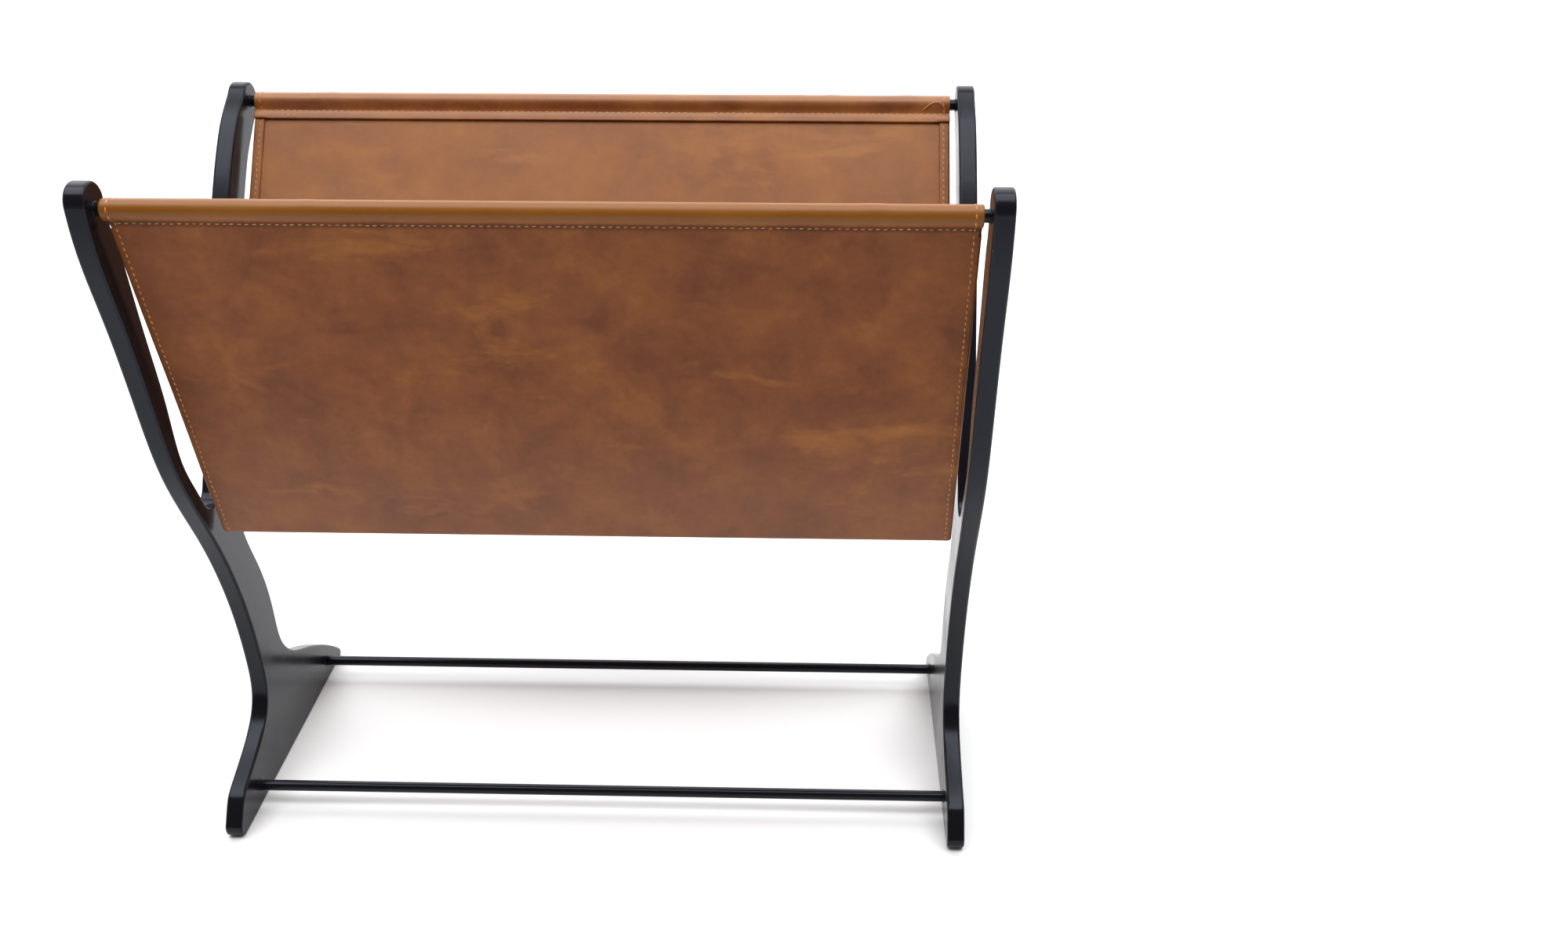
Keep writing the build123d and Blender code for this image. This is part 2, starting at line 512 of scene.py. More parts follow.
    def make(self) -> Material:
        """Build the leather's nodes and return the material."""
        material, tree = new_material(self.name)
        place = add_node(tree, "TexCoord").outputs["Object"]
        rubbed = rise_along(tree, place, "Z", self.sleeve_z)
        wax = noise(tree, place, self.wax_mm, 5.0, 0.7)
        roughness = rescale(tree, wax, (0.3, 0.7), (self.roughness - 0.07, self.roughness + 0.09))
        smoother = rescale(tree, rubbed, (0.0, 1.0), (0.0, self.rubbed_smoother))
        polished = add_node(tree, "Math", {0: roughness, 1: smoother}, operation="SUBTRACT")
        sheen = rescale(tree, rubbed, (0.0, 1.0), (self.sheen_level, self.rubbed_sheen_level))
        inputs = {
            "Base Color": self.use(tree, place, rubbed),
            "Roughness": polished.outputs["Value"],
            "Normal": self.relief(tree, place),
            "IOR": 1.46,
            "Specular IOR Level": sheen,
        }
        cover(tree, inputs)
        return material


@dataclass(frozen=True)
class WaxedThread:
    """Waxed polyester thread: a tight orange-tan twist with a low sheen."""

    name: str = "waxed_sewing_thread"
    colour: str = "#AD6A2C"
    pale_colour: str = "#C48C4A"
    roughness: float = 0.5
    soiling_mm: float = 9.0
    twist_mm: float = 0.5

    def make(self) -> Material:
        """Build the thread's nodes and return the material."""
        material, tree = new_material(self.name)
        place = add_node(tree, "TexCoord").outputs["Object"]
        soiling = noise(tree, place, self.soiling_mm, 3.0)
        twist = noise(tree, place, self.twist_mm, 1.0)
        inputs = {
            "Base Color": ramp(tree, soiling, [(0.38, self.colour), (0.66, self.pale_colour)]),
            "Roughness": self.roughness,
            "Normal": bump(tree, twist, 0.4, 0.1),
            "Sheen Weight": 0.15,
        }
        cover(tree, inputs)
        return material


@dataclass(frozen=True)
class MattePaper:
    """Seamless white studio paper: even and matte."""

    name: str = "white_studio_paper"
    colour: str = "#F4F4F4"

    def make(self) -> Material:
        """Build the paper's nodes and return the material."""
        material, tree = new_material(self.name)
        cover(tree, {"Base Color": linear_colour(self.colour), "Roughness": 0.9, "Specular IOR Level": 0.1})
        return material


# ---------------------------------------------------------------- the sling's path
class Panel(Enum):
    """The sling's two hanging panels; the value is the way each one turns into the pocket."""

    FRONT = 1
    REAR = -1


@dataclass
class SlingPath:
    """The run of the leather's middle surface in the YZ plane.

    It starts at the lower edge of the front flap inside the pocket, goes up over the front
    rod, down the front panel, round the fold, up the rear panel, over the rear rod and down
    to the edge of the rear flap. Places are (Y, Z) pairs, and distances along it are in metres.
    """

    rods: dict[Panel, tuple[float, float]] = field(
        default_factory=lambda: {Panel.FRONT: (-0.1005, 0.381), Panel.REAR: (0.1005, 0.385)}
    )
    fold: tuple[float, float] = (-0.048, 0.1769)
    leather: float = 1.6 * MM
    sleeve: float = 5.2 * MM
    fold_radius: float = 3.0 * MM
    flap_end: float = 11.6 * MM
    neck_end: float = 6.1 * MM  # where the flap and the panel have come together under the rod
    seam_drop: float = 6.8 * MM
    tuck: dict[Panel, float] = field(  # how far the seam draws each panel in under its sleeve
        default_factory=lambda: {Panel.FRONT: 3.8 * MM, Panel.REAR: 4.6 * MM}
    )
    wrap: dict[Panel, tuple[float, float]] = field(  # where the leather leaves its rod, in degrees
        default_factory=lambda: {Panel.FRONT: (-32.0, 214.0), Panel.REAR: (-22.0, 224.0)}
    )
    flap_bend: float = 1.5 * MM  # how gently the flap turns into its sleeve
    panel_bend: float = 1.4 * MM
    slack_start: float = 10 * MM  # below a rod, where the leather begins to hang free
    slack_ease: float = 45 * MM
    step: float = 0.15 * MM

    def __post_init__(self) -> None:
        """Work out the path's points and the distances of its marks."""
        half = {panel: self.axes(panel) for panel in Panel}
        down_front, in_front = half[Panel.FRONT]
        down_rear, in_rear = half[Panel.REAR]
        half_angle = math.acos(float(np.dot(down_front, down_rear))) / 2
        upward = (in_front + in_rear) / np.linalg.norm(in_front + in_rear)
        depth = self.leather / 2
        corner = np.array(self.fold) + upward * depth / math.sin(half_angle)
        radius = self.fold_radius - depth
        reach = radius / math.tan(half_angle)
        self.panel_length = {
            panel: float(np.dot(corner - np.array(self.rods[panel]), half[panel][0])) - reach
            for panel in Panel
        }
        front, rear = self.half_path(Panel.FRONT), self.half_path(Panel.REAR)[::-1]
        centre = corner + upward * radius / math.sin(half_angle)
        start = math.atan2(*(front[-1] - centre)[::-1])
        end = math.atan2(*(rear[0] - centre)[::-1])
        turn = (end - start) % (2 * math.pi)
        angles = start + turn * np.linspace(0, 1, max(int(turn * radius / self.step), 8))[1:-1]
        bend = centre + radius * np.stack([np.cos(angles), np.sin(angles)], 1)
        self.points = np.concatenate([front, bend, rear])
        gaps = np.linalg.norm(np.diff(self.points, axis=0), axis=1)
        self.distance = np.concatenate([[0.0], np.cumsum(gaps)])
        self.length = float(self.distance[-1])
        self.tube_length = float(self.distance[len(front) - 1]) - self.panel_length[Panel.FRONT]
        self.fold_middle = float(self.distance[len(front) - 1]) + turn * radius / 2
        along = unit(np.gradient(self.points, axis=0))
        self.inside = np.stack([-along[:, 1], along[:, 0]], 1)

    def axes(self, panel: Panel) -> tuple[Array, Array]:
        """Return one panel's unit vectors: down along it, and square to it into the pocket."""
        to_fold = np.array(self.fold) - np.array(self.rods[panel])
        lean = panel.value * math.asin(self.sleeve / float(np.linalg.norm(to_fold)))
        to_fold = to_fold / np.linalg.norm(to_fold)
        turn = np.array([[math.cos(lean), -math.sin(lean)], [math.sin(lean), math.cos(lean)]])
        down = turn @ to_fold
        inward = panel.value * np.array([-down[1], down[0]])
        return down, inward

    def spot(self, panel: Panel, drop: Array, depth: Array) -> Array:
        """Return places a drop below a panel's rod and a depth inside the panel's outer face."""
        down, inward = self.axes(panel)
        return np.array(self.rods[panel]) + np.outer(drop, down) + np.outer(depth - self.sleeve, inward)

    def half_path(self, panel: Panel) -> Array:
        """Draw half of the path, from a flap's lower edge to where the fold begins."""
        length, radius = self.panel_length[panel], self.sleeve - self.leather / 2
        panel_depth = self.tuck[panel] + self.leather / 2
        panel_neck = np.array([self.neck_end, panel_depth])
        flap_neck = panel_neck + np.array([0.0, self.leather])
        begin, finish = np.radians(self.wrap[panel])
        turn = np.linspace(begin, finish, math.ceil((finish - begin) * radius / self.step))
        tube = np.stack([-radius * np.sin(turn), self.sleeve + radius * np.cos(turn)], 1)
        before = tube[0] + self.flap_bend * np.array([math.cos(begin), math.sin(begin)])
        beyond = tube[-1] - self.panel_bend * np.array([math.cos(finish), math.sin(finish)])
        back = bezier(flap_neck, flap_neck - (self.flap_bend, 0), before, tube[0], 60)
        front = bezier(tube[-1], beyond, panel_neck - (self.panel_bend, 0), panel_neck, 40)
        flap = np.linspace((self.flap_end, flap_neck[1]), flap_neck, 40)[:-1]
        hanging = np.linspace(panel_neck, (length, self.leather / 2), int(length / self.step))[1:]
        outline = np.concatenate([flap, back[:-1], tube, front[1:], hanging])
        return self.spot(panel, outline[:, 0], outline[:, 1])

    def on_panel(self, panel: Panel, drop: float) -> float:
        """Distance along the path of a spot on a panel, a drop below its rod."""
        if panel is Panel.FRONT:
            return self.tube_length + drop
        return self.length - self.tube_length - drop

    def on_flap(self, panel: Panel, drop: float) -> float:
        """Distance along the path of a spot on a flap, a drop below its rod."""
        if panel is Panel.FRONT:
            return self.flap_end - drop
        return self.length - self.flap_end + drop

    def drop_share(self, s: Array) -> Array:
        """How freely the leather hangs at each distance: 0 in the sleeves and fold, 1 in mid panel."""
        share = np.zeros_like(s)
        for panel in Panel:
            top = self.on_panel(panel, self.slack_start)
            bottom = self.on_panel(panel, self.panel_length[panel])
            low, high = min(top, bottom), max(top, bottom)
            share += ease((s - low) / self.slack_ease) * ease((high - s) / self.slack_ease)
        return share

    def at(self, s: Array, lift: Array | float) -> Array:
        """Places along the path, moved by a lift towards the flesh side.

        Args:
            s: distances along the path.
            lift: how far to the flesh side of the middle surface each place is.

        Returns:
            (n, 2) array of Y and Z.
        """
        place = np.stack([np.interp(s, self.distance, self.points[:, i]) for i in (0, 1)], 1)
        side = np.stack([np.interp(s, self.distance, self.inside[:, i]) for i in (0, 1)], 1)
        return place + unit(side) * np.broadcast_to(lift, s.shape)[:, None]


# ---------------------------------------------------------------- the leather
@dataclass
class LeatherSling:
    """One hide, cut flat, turned in along its sides, hung over both rods and creased at the fold."""

    path: SlingPath
    half_width: float = 201.5 * MM
    hem_width: float = 6.0 * MM
    hem_depth: float = 3.0 * MM
    hem_seam: float = 3.6 * MM
    hem_draw: float = 1.2 * MM  # how far each turned hem draws its side edge in
    hem_bulge: float = 0.9 * MM  # how far a flap stands off over the end of a turned hem
    panel_dip: float = 0.30 * MM  # how far the thread pulls the leather in along a seam
    flap_dip: float = 0.28 * MM
    wave: float = 0.7 * MM
    dent_count: int = 16  # on each sleeve
    column_gap: float = 3.9 * MM
    fine_gap: float = 0.8 * MM  # between rows at the seams and sleeves
    fold_gap: float = 0.5 * MM
    wide_gap: float = 3.6 * MM
    edge_round: float = 0.35 * MM
    seed: int = 11

    def stations(self) -> Array:
        """Distances of the rows: close together at seams, sleeves and fold, and wider between."""
        path = self.path
        sleeve, fold, end = path.tube_length, path.fold_middle, path.length
        gap_at = [
            (0.0, self.fine_gap),
            (sleeve + 12 * MM, self.fine_gap),
            (sleeve + 26 * MM, self.wide_gap),
            (fold - 12 * MM, self.wide_gap),
            (fold - 5 * MM, self.fold_gap),
            (fold + 5 * MM, self.fold_gap),
            (fold + 12 * MM, self.wide_gap),
            (end - sleeve - 26 * MM, self.wide_gap),
            (end - sleeve - 12 * MM, self.fine_gap),
            (end, self.fine_gap),
        ]
        where, gap = np.array(gap_at).T
        rows = [0.0]
        while rows[-1] < path.length:
            rows.append(rows[-1] + float(np.interp(rows[-1], where, gap)))
        return np.array(rows) * path.length / rows[-1]

    def columns(self) -> Array:
        """Places of the columns across the cut, closer together along both side edges."""
        inner = self.half_width - 9 * MM
        middle = np.linspace(-inner, inner, int(2 * inner / self.column_gap))
        edge = np.linspace(inner, self.half_width, 8)[1:]
        return np.concatenate([-edge[::-1], middle, edge])

    def lift(self, x: Array, s: Array) -> Array:
        """How far the hung leather stands off its path: slack waves, seams pulled in and dents.

        Args:
            x: places across the sling.
            s: distances along its path.

        Returns:
            The lift towards the flesh side at each place.
        """
        path = self.path
        waves = sum(
            strength * np.sin(2 * np.pi * run / length + phase + skew)
            for strength, run, length, phase, skew in (
                (0.50, x, 0.215, 0.6, 5 * s),
                (0.26, x, 0.087, 2.1, -9 * s),
                (0.34, s, 0.118, 1.0, 3 * x),
            )
        )
        lift = self.wave * waves * path.drop_share(s)
        for panel in Panel:
            panel_seam = path.on_panel(panel, path.seam_drop)
            flap_seam = path.on_flap(panel, path.seam_drop)
            lift += self.panel_dip * np.exp(-(((s - panel_seam) / (1.1 * MM)) ** 2))
            lift += self.flap_dip * np.exp(-(((s - flap_seam) / (1.0 * MM)) ** 2))
            over_hem = ease((np.abs(x) - (self.half_width - self.hem_width - 2 * MM)) / (2.5 * MM))
            from_flap = np.abs(s - path.on_flap(panel, path.flap_end - 1.4 * MM))
            on_flap = ease((3.2 * MM - from_flap) / (2.4 * MM))
            lift -= self.hem_bulge * over_hem * on_flap
        lift += self.sleeve_dents(x, s)
        return lift

    def sleeve_dents(self, x: Array, s: Array) -> Array:
        """Small pinches round the sleeves, most of them near the ends."""
        draw = np.random.default_rng(self.seed)
        dents = np.zeros_like(x)
        for panel in Panel:
            middle = self.path.on_panel(panel, -6 * MM)
            for _ in range(self.dent_count):
                towards_end = draw.uniform(0.25, 1.0) ** 0.5
                place = draw.choice([-1, 1]) * towards_end * (self.half_width - 8 * MM)
                height = draw.uniform(-0.10, 0.34) * MM
                width, slant = draw.uniform(2.5, 7.0) * MM, draw.uniform(-0.8, 0.8)
                offset = draw.uniform(-4, 4) * MM
                across = (x - place - slant * (s - middle)) / width
                round_tube = (s - middle - offset) / (5.5 * MM)
                dents -= height * np.exp(-(across**2) - round_tube**2)
        return dents

    def cut_and_hang(self) -> Piece:
        """Cut the hide as a flat grid and hang it along its path.

        Returns:
            The sling as one open sheet, its UV map laid out as it was cut.
        """
        rows, columns = self.stations(), self.columns()
        sheet, column, row = new_grid("hung_leather_sling", len(columns) - 1, len(rows) - 1)
        x, s = columns[column], rows[row]
        self.lay_out(sheet, x, s)
        below_sleeves = np.minimum(
            s - self.path.on_panel(Panel.FRONT, 5 * MM), self.path.on_panel(Panel.REAR, 5 * MM) - s
        )
        hem_share = ease(below_sleeves / (4 * MM))
        width = (self.half_width - self.hem_draw * hem_share) / self.half_width
        hung = self.path.at(s, self.lift(x, s))
        set_points(sheet, np.column_stack([x * width, hung]))
        log.info("cut the hide: %d rows by %d columns, %.0f mm long", len(rows), len(columns), s.max() / MM)
        return sheet

    def lay_out(self, piece: Piece, x: Array, s: Array) -> None:
        """Give a piece a UV map that follows the cut leather."""
        layer = piece.data.uv_layers.get(UV_NAME) or piece.data.uv_layers.new(name=UV_NAME)
        corners = np.empty(len(piece.data.loops), int)
        piece.data.loops.foreach_get("vertex_index", corners)
        uv = np.column_stack([x, s])[corners] / UV_METRES
        layer.data.foreach_set("uv", (uv + np.array([0.5, 0.0])).ravel())

    def thicken(self, sheet: Piece) -> None:
        """Give the sheet the leather's thickness and slightly rounded cut edges."""
        activate(sheet)
        solid = sheet.modifiers.new("leather_thickness", "SOLIDIFY")
        solid.thickness = self.path.leather
        solid.offset = 0.0
        solid.use_even_offset = False
        bpy.ops.object.modifier_apply(modifier=solid.name)
        rounding = sheet.modifiers.new("pared_edges", "BEVEL")
        rounding.width = self.edge_round
        rounding.segments = 2
        rounding.limit_method = "ANGLE"
        rounding.angle_limit = math.radians(60)
        bpy.ops.object.modifier_apply(modifier=rounding.name)

    def turned_hem(self, side: int) -> Piece:
        """Model the turned-in strip along one side edge, its fold rounded.

        Args:
            side: 1 for the right edge and -1 for the left.

        Returns:
            A closed band inside the sling.
        """
        path = self.path
        radius = self.hem_depth / 2
        centre = self.half_width - radius
        inner = self.half_width - self.hem_width
        angles = np.linspace(math.pi / 2, -math.pi / 2, 9)
        outline = [(inner, 1.5 * MM), (inner, 2.5 * MM), (inner + 0.5 * MM, self.hem_depth)]
        outline += [(inner + 2.4 * MM, self.hem_depth - 0.12 * MM)]
        outline += [(centre + radius * math.cos(a), radius + radius * math.sin(a)) for a in angles]
        outline += [(centre - 0.3 * MM, 0.04 * MM), (centre - 0.5 * MM, 1.5 * MM)]
        rows = self.stations()
        start = path.flap_end - 1.6 * MM
        first, last = path.on_panel(Panel.FRONT, start), path.on_panel(Panel.REAR, start)
        rows = rows[(rows > first) & (rows < last)]
        hem, corner, row = new_grid("turned_hem", len(outline), len(rows) - 1)
        x, depth = np.array(outline)[corner % len(outline)].T
        s = rows[row]
        self.lay_out(hem, side * x, s)
        near_fold = np.exp(-(((s - path.fold_middle) / (5 * MM)) ** 2))
        lift = (depth - path.leather / 2) * (1 - 0.18 * near_fold) + self.lift(side * x, s)
        set_points(hem, np.column_stack([side * x, path.at(s, lift)]))
        activate(hem)
        bpy.ops.object.mode_set(mode="EDIT")
        bpy.ops.mesh.select_all(action="SELECT")
        bpy.ops.mesh.remove_doubles(threshold=0.01 * MM)
        bpy.ops.mesh.select_all(action="DESELECT")
        bpy.ops.mesh.select_non_manifold(extend=False, use_multi_face=False, use_verts=False)
        bpy.ops.mesh.fill()
        bpy.ops.mesh.select_all(action="SELECT")
        bpy.ops.mesh.normals_make_consistent(inside=False)
        bpy.ops.object.mode_set(mode="OBJECT")
        return hem

    def build(self, finish: Material) -> Piece:
        """Build, join and dress the whole sling.

        Args:
            finish: the leather's material.

        Returns:
            The finished sling.
        """
        sheet = self.cut_and_hang()
        self.thicken(sheet)
        join_into(sheet, [self.turned_hem(side) for side in (1, -1)])
        smooth_by_angle(sheet, 50)
        dress(sheet, finish)
        log.info("sling: %d faces", len(sheet.data.polygons))
        return sheet


# ---------------------------------------------------------------- the sewing
class Face(Enum):
    """The side of the leather that a row of stitches lies on; the value is the way it faces."""

    GRAIN = -1
    FLESH = 1


@dataclass
class Sewing:
    """Lockstitch rows: one stitch modelled once and repeated along every seam."""

    sling: LeatherSling
    pitch: float = 3.5 * MM
    stitch: float = 2.5 * MM
    width: float = 0.76 * MM
    height: float = 0.44 * MM
    slant_degrees: float = 5.0
    sink: float = 0.02 * MM  # how far a stitch's middle lies in the leather
    tack_drop: float = 2.7 * MM
    tack_ends: tuple[float, float] = (9 * MM, 26 * MM)  # from each side edge
    tail_radius: float = 0.22 * MM
    seed: int = 5

    def __post_init__(self) -> None:
        """Model the one stitch that every seam repeats and start the seeded draws."""
        self.draw = np.random.default_rng(self.seed)
        deselect_all()
        bpy.ops.mesh.primitive_uv_sphere_add(segments=8, ring_count=6, radius=0.5)
        pattern = bpy.context.object
        bpy.ops.object.mode_set(mode="EDIT")
        bpy.ops.mesh.select_all(action="SELECT")
        bpy.ops.transform.rotate(value=math.pi / 2, orient_axis="Y", center_override=(0, 0, 0))
        bpy.ops.transform.resize(value=(self.stitch, self.width, self.height), center_override=(0, 0, 0))
        bpy.ops.object.mode_set(mode="OBJECT")
        points = get_points(pattern)
        share = points[:, 0] / (self.stitch / 2)
        points[:, 0] = np.sign(share) * np.abs(share) ** 0.75 * self.stitch / 2
        points[:, 2] -= 0.16 * MM * share**2
        self.pattern_points = points
        self.pattern_faces = [tuple(face.vertices) for face in pattern.data.polygons]
        bpy.data.objects.remove(pattern)

    def sew(self, name: str, rows: list[StitchRow]) -> Piece:
        """Repeat the stitch at many places in one mesh.

        Args:
            name: the new piece's name.
            rows: for each row of stitches, its middles, directions and outward normals.

        Returns:
            The piece.
        """
        points, faces = [], []
        for middles, along, outward in rows:
            for middle, forward, normal in zip(middles, along, outward):
                angle = math.radians(self.slant_degrees + self.draw.normal(0, 2.5))
                across = np.cross(normal, forward)
                ahead = forward * math.cos(angle) + across * math.sin(angle)
                axes = np.stack([ahead, np.cross(normal, ahead), normal])
                shape = self.pattern_points * self.draw.uniform([0.90, 0.88, 0.85], [1.04, 1.12, 1.1])
                faces += [tuple(i + len(points) * len(shape) for i in face) for face in self.pattern_faces]
                points.append(middle + shape @ axes)
        mesh = bpy.data.meshes.new(name)
        mesh.from_pydata(np.concatenate(points).tolist(), [], faces)
        piece = bpy.data.objects.new(name, mesh)
        bpy.context.scene.collection.objects.link(piece)
        return piece

    def place(self, x: Array, s: Array, face: Face, layers: float) -> Array:
        """Places on the leather's surface.

        Args:
            x: places across the sling.
            s: distances along its path.
            face: the side of the leather.
            layers: the distance from the middle surface to the side's face.

        Returns:
            (n, 3) array of places.
        """
        lift = self.sling.lift(x, s) + face.value * layers
        return np.column_stack([x, self.sling.path.at(s, lift)])

    def row_across(self, s: float, reach: float, face: Face) -> StitchRow:
        """One row of stitches across the sling at one distance along its path."""
        count = int(2 * reach / self.pitch)
        x = (np.arange(count) - (count - 1) / 2) * self.pitch
        x = x + self.draw.normal(0, 0.12 * MM, count)
        s_row = np.full(count, s) + self.draw.normal(0, 0.08 * MM, count)
        surface = self.sling.path.leather / 2 - self.sink
        middles = self.place(x, s_row, face, surface)
        outward = self.place(x, s_row, face, surface + MM) - middles
        forward = np.tile([1.0, 0.0, 0.0], (count, 1))
        return middles, forward, unit(outward)

    def row_along(self, x: float, first: float, last: float, face: Face, layers: float) -> StitchRow:
        """One row of stitches along a side hem between two distances along the path."""
        count = int((last - first) / self.pitch)
        s = first + (np.arange(count) + 0.5) * (last - first) / count
        x_row = np.full(count, x) + self.draw.normal(0, 0.10 * MM, count)
        middles = self.place(x_row, s, face, layers)
        ahead, behind = (self.place(x_row, s + step, face, layers) for step in (0.5 * MM, -0.5 * MM))
        outward = self.place(x_row, s, face, layers + MM) - middles
        return middles, unit(ahead - behind), unit(outward)

    def sleeve_seam(self, panel: Panel, name: str) -> Piece:
        """Sew one sleeve shut, on its outer face and on its flap, with a few stitches back at each end."""
        path = self.sling.path
        reach = self.sling.half_width - self.sling.hem_seam
        rows = [
            self.row_across(path.on_panel(panel, path.seam_drop), reach, Face.GRAIN),
            self.row_across(path.on_flap(panel, path.seam_drop), reach, Face.GRAIN),
        ]
        below_seam = path.on_flap(panel, path.seam_drop + self.tack_drop)
        back_tack = self.row_across(below_seam, reach, Face.GRAIN)
        from_end = self.sling.half_width - np.abs(back_tack[0][:, 0])
        at_ends = (from_end > self.tack_ends[0]) & (from_end < self.tack_ends[1])
        rows.append(tuple(part[at_ends] for part in back_tack))
        return self.sew(name, rows)

    def hem_seam(self, side: int, name: str) -> Piece:
        """Sew one side hem: outside along the whole edge, and inside on both panels."""
        path = self.sling.path
        x = side * (self.sling.half_width - self.sling.hem_seam)
        outer = path.leather / 2 - self.sink
        inner = self.sling.hem_depth - path.leather / 2 - 0.15 * MM
        tuck = path.flap_end + 1.5 * MM
        rows = [self.row_along(x, 1.5 * MM, path.length - 1.5 * MM, Face.GRAIN, outer)]
        for panel in Panel:
            ends = [path.on_panel(panel, tuck), path.on_panel(panel, path.panel_length[panel] - 4 * MM)]
            rows.append(self.row_along(x, min(ends), max(ends), Face.FLESH, inner))
        return self.sew(name, rows)

    def loose_end(self, side: int) -> Piece:
        """Model the thread's tail that curls over the rear sleeve at one end of its seam."""
        path = self.sling.path
        seam = path.on_flap(Panel.REAR, path.seam_drop)
        from_edge = np.array([3.6, 3.0, 3.4, 6.4, 10.2, 13.4, 15.4]) * MM
        x = self.sling.half_width - from_edge
        s = seam + np.array([0.6, -2.2, -4.9, -7.1, -6.9, -4.9, -2.9]) * MM
        lifts = np.array([0.1, 0.6, 0.9, 1.0, 0.9, 0.6, 0.35]) * MM
        points = [
            self.place(np.array([side * across]), np.array([along]), Face.GRAIN, path.leather / 2 + lift)[0]
            for across, along, lift in zip(x, s, lifts)
        ]
        deselect_all()
        bpy.ops.curve.primitive_nurbs_path_add()
        tail = bpy.context.object
        spline = tail.data.splines[0]
        spline.points.add(len(points) - len(spline.points))
        for control, place in zip(spline.points, points):
            control.co = (*place, 1.0)
        spline.order_u = 4
        spline.use_endpoint_u = True
        tail.data.bevel_depth = self.tail_radius
        tail.data.bevel_resolution = 2
        tail.data.use_fill_caps = True
        bpy.ops.object.convert(target="MESH")
        return bpy.context.object

    def build(self, finish: Material) -> dict[str, Piece]:
        """Sew every seam.

        Args:
            finish: the thread's material.

        Returns:
            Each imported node's name to the piece that stands for it.
        """
        seams = {
            "front_sleeve_stitching": self.sleeve_seam(Panel.FRONT, "front_sleeve_stitches"),
            "rear_sleeve_stitching": self.sleeve_seam(Panel.REAR, "rear_sleeve_stitches"),
            "right_hem_stitching": self.hem_seam(1, "right_hem_stitches"),
            "left_hem_stitching": self.hem_seam(-1, "left_hem_stitches"),
        }
        join_into(seams["rear_sleeve_stitching"], [self.loose_end(1)])
        for node, piece in seams.items():
            smooth_by_angle(piece, 80)
            dress(piece, finish)
            log.info("%s: %d faces", piece.name, len(piece.data.polygons))
        return seams


# ---------------------------------------------------------------- the frame
@dataclass
class Framework:
    """The end frames, rods and screws as packed, and the lacquer that pools where they meet."""

    nodes: dict[str, Piece]
    rod_radius: float = 3.175 * MM
    pool: float = 0.55 * MM
    seed: int = 3

    def dress(self, lacquer: Material, screw_steel: Material) -> None:
        """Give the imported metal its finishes."""
        for name, node in self.nodes.items():
            if name.endswith("_screw"):
                dress(node, screw_steel)
            elif name in (*FRAME_NODES, *ROD_NODES):
                dress(node, lacquer)

    def lacquer_pools(self, lacquer: Material) -> Piece:
        """Model the thin ring of lacquer round each rod where it enters an end frame.

        Args:
            lacquer: the frames' material.

        Returns:
            All the rings as one piece.
        """
        draw = np.random.default_rng(self.seed)
        rings = []
        inner_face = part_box("right_end_frame")[0].x
        for name in ROD_NODES:
            low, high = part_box(name)
            middle = (low + high) / 2
            for side in (-1, 1):
                deselect_all()
                bpy.ops.mesh.primitive_torus_add(
                    major_segments=28,
                    minor_segments=8,
                    major_radius=self.rod_radius + 0.15 * MM,
                    minor_radius=self.pool,
                    location=(0, 0, 0),
                    rotation=(0, math.pi / 2, 0),
                )
                ring = bpy.context.object
                bpy.ops.object.transform_apply(location=False, rotation=True, scale=False)
                points = get_points(ring)
                around = np.arctan2(points[:, 2], points[:, 1])
                swell = 1 + 0.35 * np.sin(around + draw.uniform(0, 6)) + 0.2 * np.sin(2 * around)
                points[:, 0] *= swell * 0.8
                points += np.array([side * (inner_face - 0.05 * MM), middle.y, middle.z])
                set_points(ring, points)
                rings.append(ring)
        pools = rings[0]
        pools.name = "lacquer_pools"
        join_into(pools, rings[1:])
        smooth_by_angle(pools, 80)
        dress(pools, lacquer)
        log.info("lacquer pools: %d rings", len(rings))
        return pools


# ---------------------------------------------------------------- the studio
@dataclass(frozen=True)
class Softbox:
    """One rectangular area light."""

    name: str
    place: tuple[float, float, float]
    aim: tuple[float, float, float]
    size: tuple[float, float]
    brightness: float  # radiance of its surface, where white paper in full light is about 1

    def hang(self) -> None:
        """Add the light to the scene."""
        deselect_all()
        bpy.ops.object.light_add(type="AREA", location=self.place)
        lamp = bpy.context.object
        lamp.name = self.name
        lamp.data.shape = "RECTANGLE"
        lamp.data.size, lamp.data.size_y = self.size
        lamp.data.energy = self.brightness * math.pi * self.size[0] * self.size[1]
        lamp.rotation_euler = (Vector(self.aim) - Vector(self.place)).to_track_quat("-Z", "Y").to_euler()


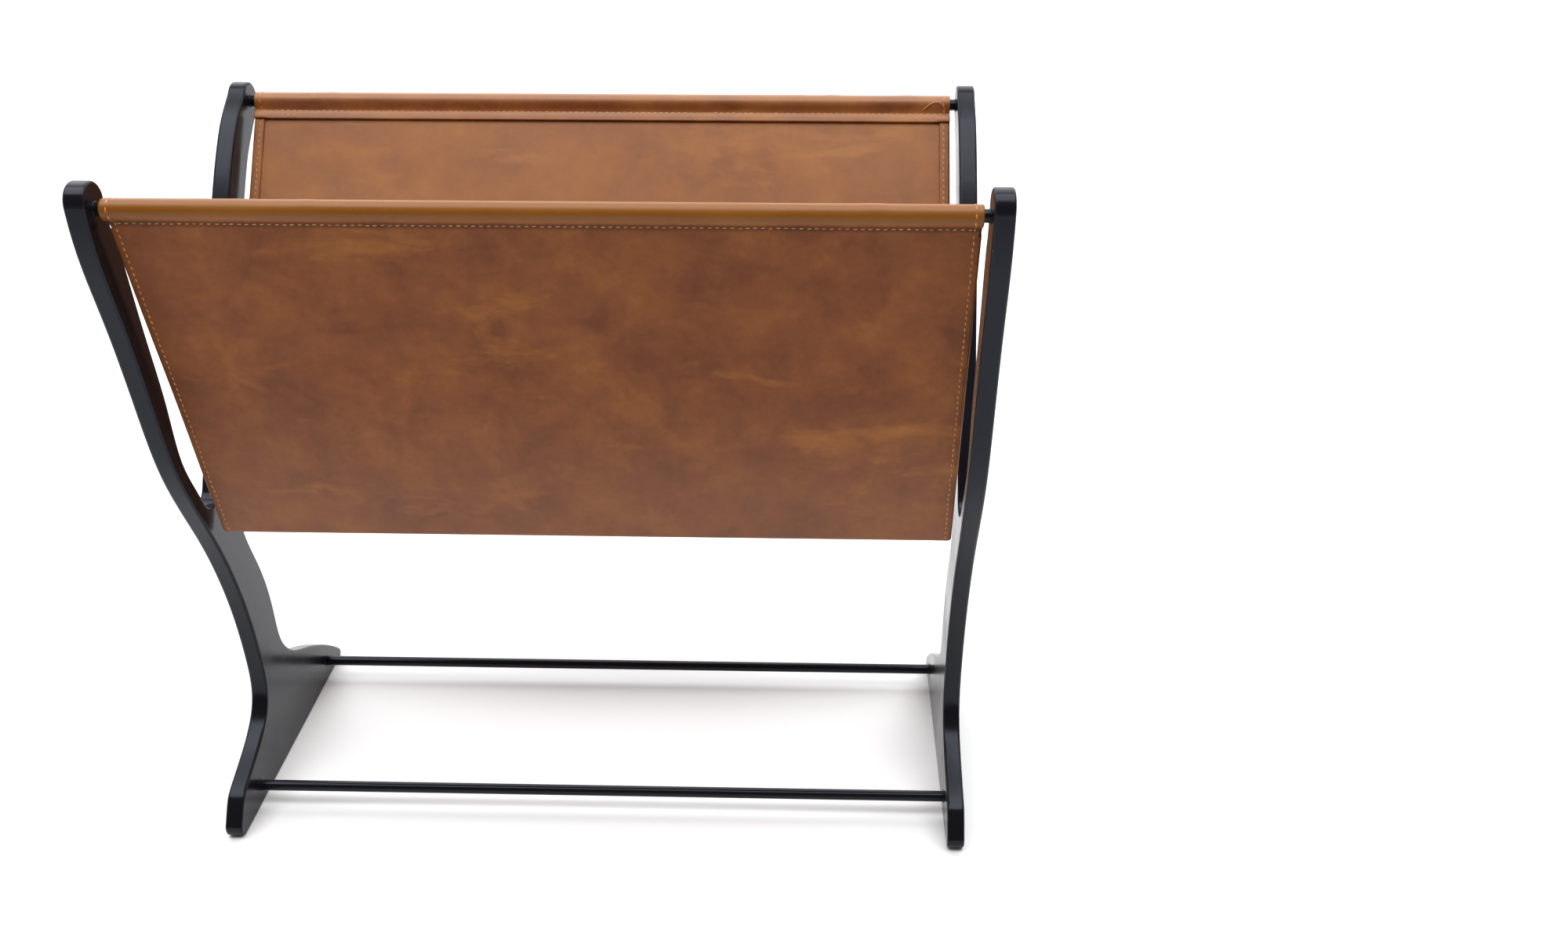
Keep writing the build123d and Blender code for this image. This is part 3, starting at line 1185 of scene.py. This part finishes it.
@dataclass
class Studio:
    """A white paper sweep under large softboxes, with the camera side left dim."""

    softboxes: tuple[Softbox, ...] = (
        Softbox("overhead_softbox", (0.0, -0.24, 1.5), (0.0, -0.1, 0.0), (2.2, 0.9), 4.6),
        Softbox("background_softbox", (0.0, 3.4, 2.6), (0.0, 3.2, 0.0), (9.0, 5.0), 2.1),
        Softbox("left_softbox", (-2.3, -0.1, 1.0), (0.0, 0.0, 0.2), (1.6, 1.6), 0.9),
    )
    floor_size: float = 16.0
    lens_mm: float = 32.615
    sensor_mm: float = 36.0
    camera_place: tuple[float, float, float] = (126.9 * MM, -726.2 * MM, 573.2 * MM)
    camera_pitch: float = 27.057
    camera_yaw: float = 1.450
    front_sky: float = 0.14
    back_sky: float = 0.70
    sky_colour: str = "#F7F9FC"

    def build(self) -> None:
        """Lay the paper, hang the lights and set up the camera."""
        deselect_all()
        bpy.ops.mesh.primitive_plane_add(size=self.floor_size, location=(0, 0, 0))
        floor = bpy.context.object
        floor.name = "studio_floor"
        dress(floor, MattePaper().make())
        for softbox in self.softboxes:
            softbox.hang()
        self.light_room()
        bpy.ops.object.camera_add(location=self.camera_place)
        camera = bpy.context.object
        camera.rotation_euler = (math.radians(90 - self.camera_pitch), 0, math.radians(self.camera_yaw))
        camera.data.lens = self.lens_mm
        camera.data.sensor_fit = "HORIZONTAL"
        camera.data.sensor_width = self.sensor_mm
        camera.data.clip_start = 0.01
        bpy.context.scene.camera = camera
        bpy.context.scene.view_settings.view_transform = "Standard"

    def light_room(self) -> None:
        """Fill the room with soft light that is brighter behind the rack than in front of it."""
        world = bpy.data.worlds.new("studio_room")
        world.use_nodes = True
        tree = world.node_tree
        tree.nodes.clear()
        towards = add_node(tree, "TexCoord").outputs["Generated"]
        ahead = add_node(tree, "SeparateXYZ", {"Vector": towards}).outputs["Y"]
        level = rescale(tree, ahead, (-0.6, 0.6), (self.front_sky, self.back_sky), "SMOOTHSTEP")
        glow = add_node(tree, "Background", {"Color": linear_colour(self.sky_colour), "Strength": level})
        add_node(tree, "OutputWorld", {"Surface": glow.outputs["Background"]})
        bpy.context.scene.world = world


# ---------------------------------------------------------------- the whole rack
def main() -> None:
    """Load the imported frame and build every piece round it."""
    logging.basicConfig(level=logging.INFO, format="%(name)s: %(message)s")
    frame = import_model()
    Studio().build()

    lacquer = StovedLacquer().make()
    framework = Framework(frame["nodes"])
    framework.dress(lacquer, BlackOxide().make())
    pools = framework.lacquer_pools(lacquer)
    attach(pools, BODY)

    path = SlingPath()
    leather = LeatherSling(path)
    sling = leather.build(PullUpLeather().make())
    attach(sling, BODY)
    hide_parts("leather_sling")

    seams = Sewing(leather).build(WaxedThread().make())
    for node, piece in seams.items():
        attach(piece, BODY)
        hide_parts(node)


if __name__ == "__main__":
    main()
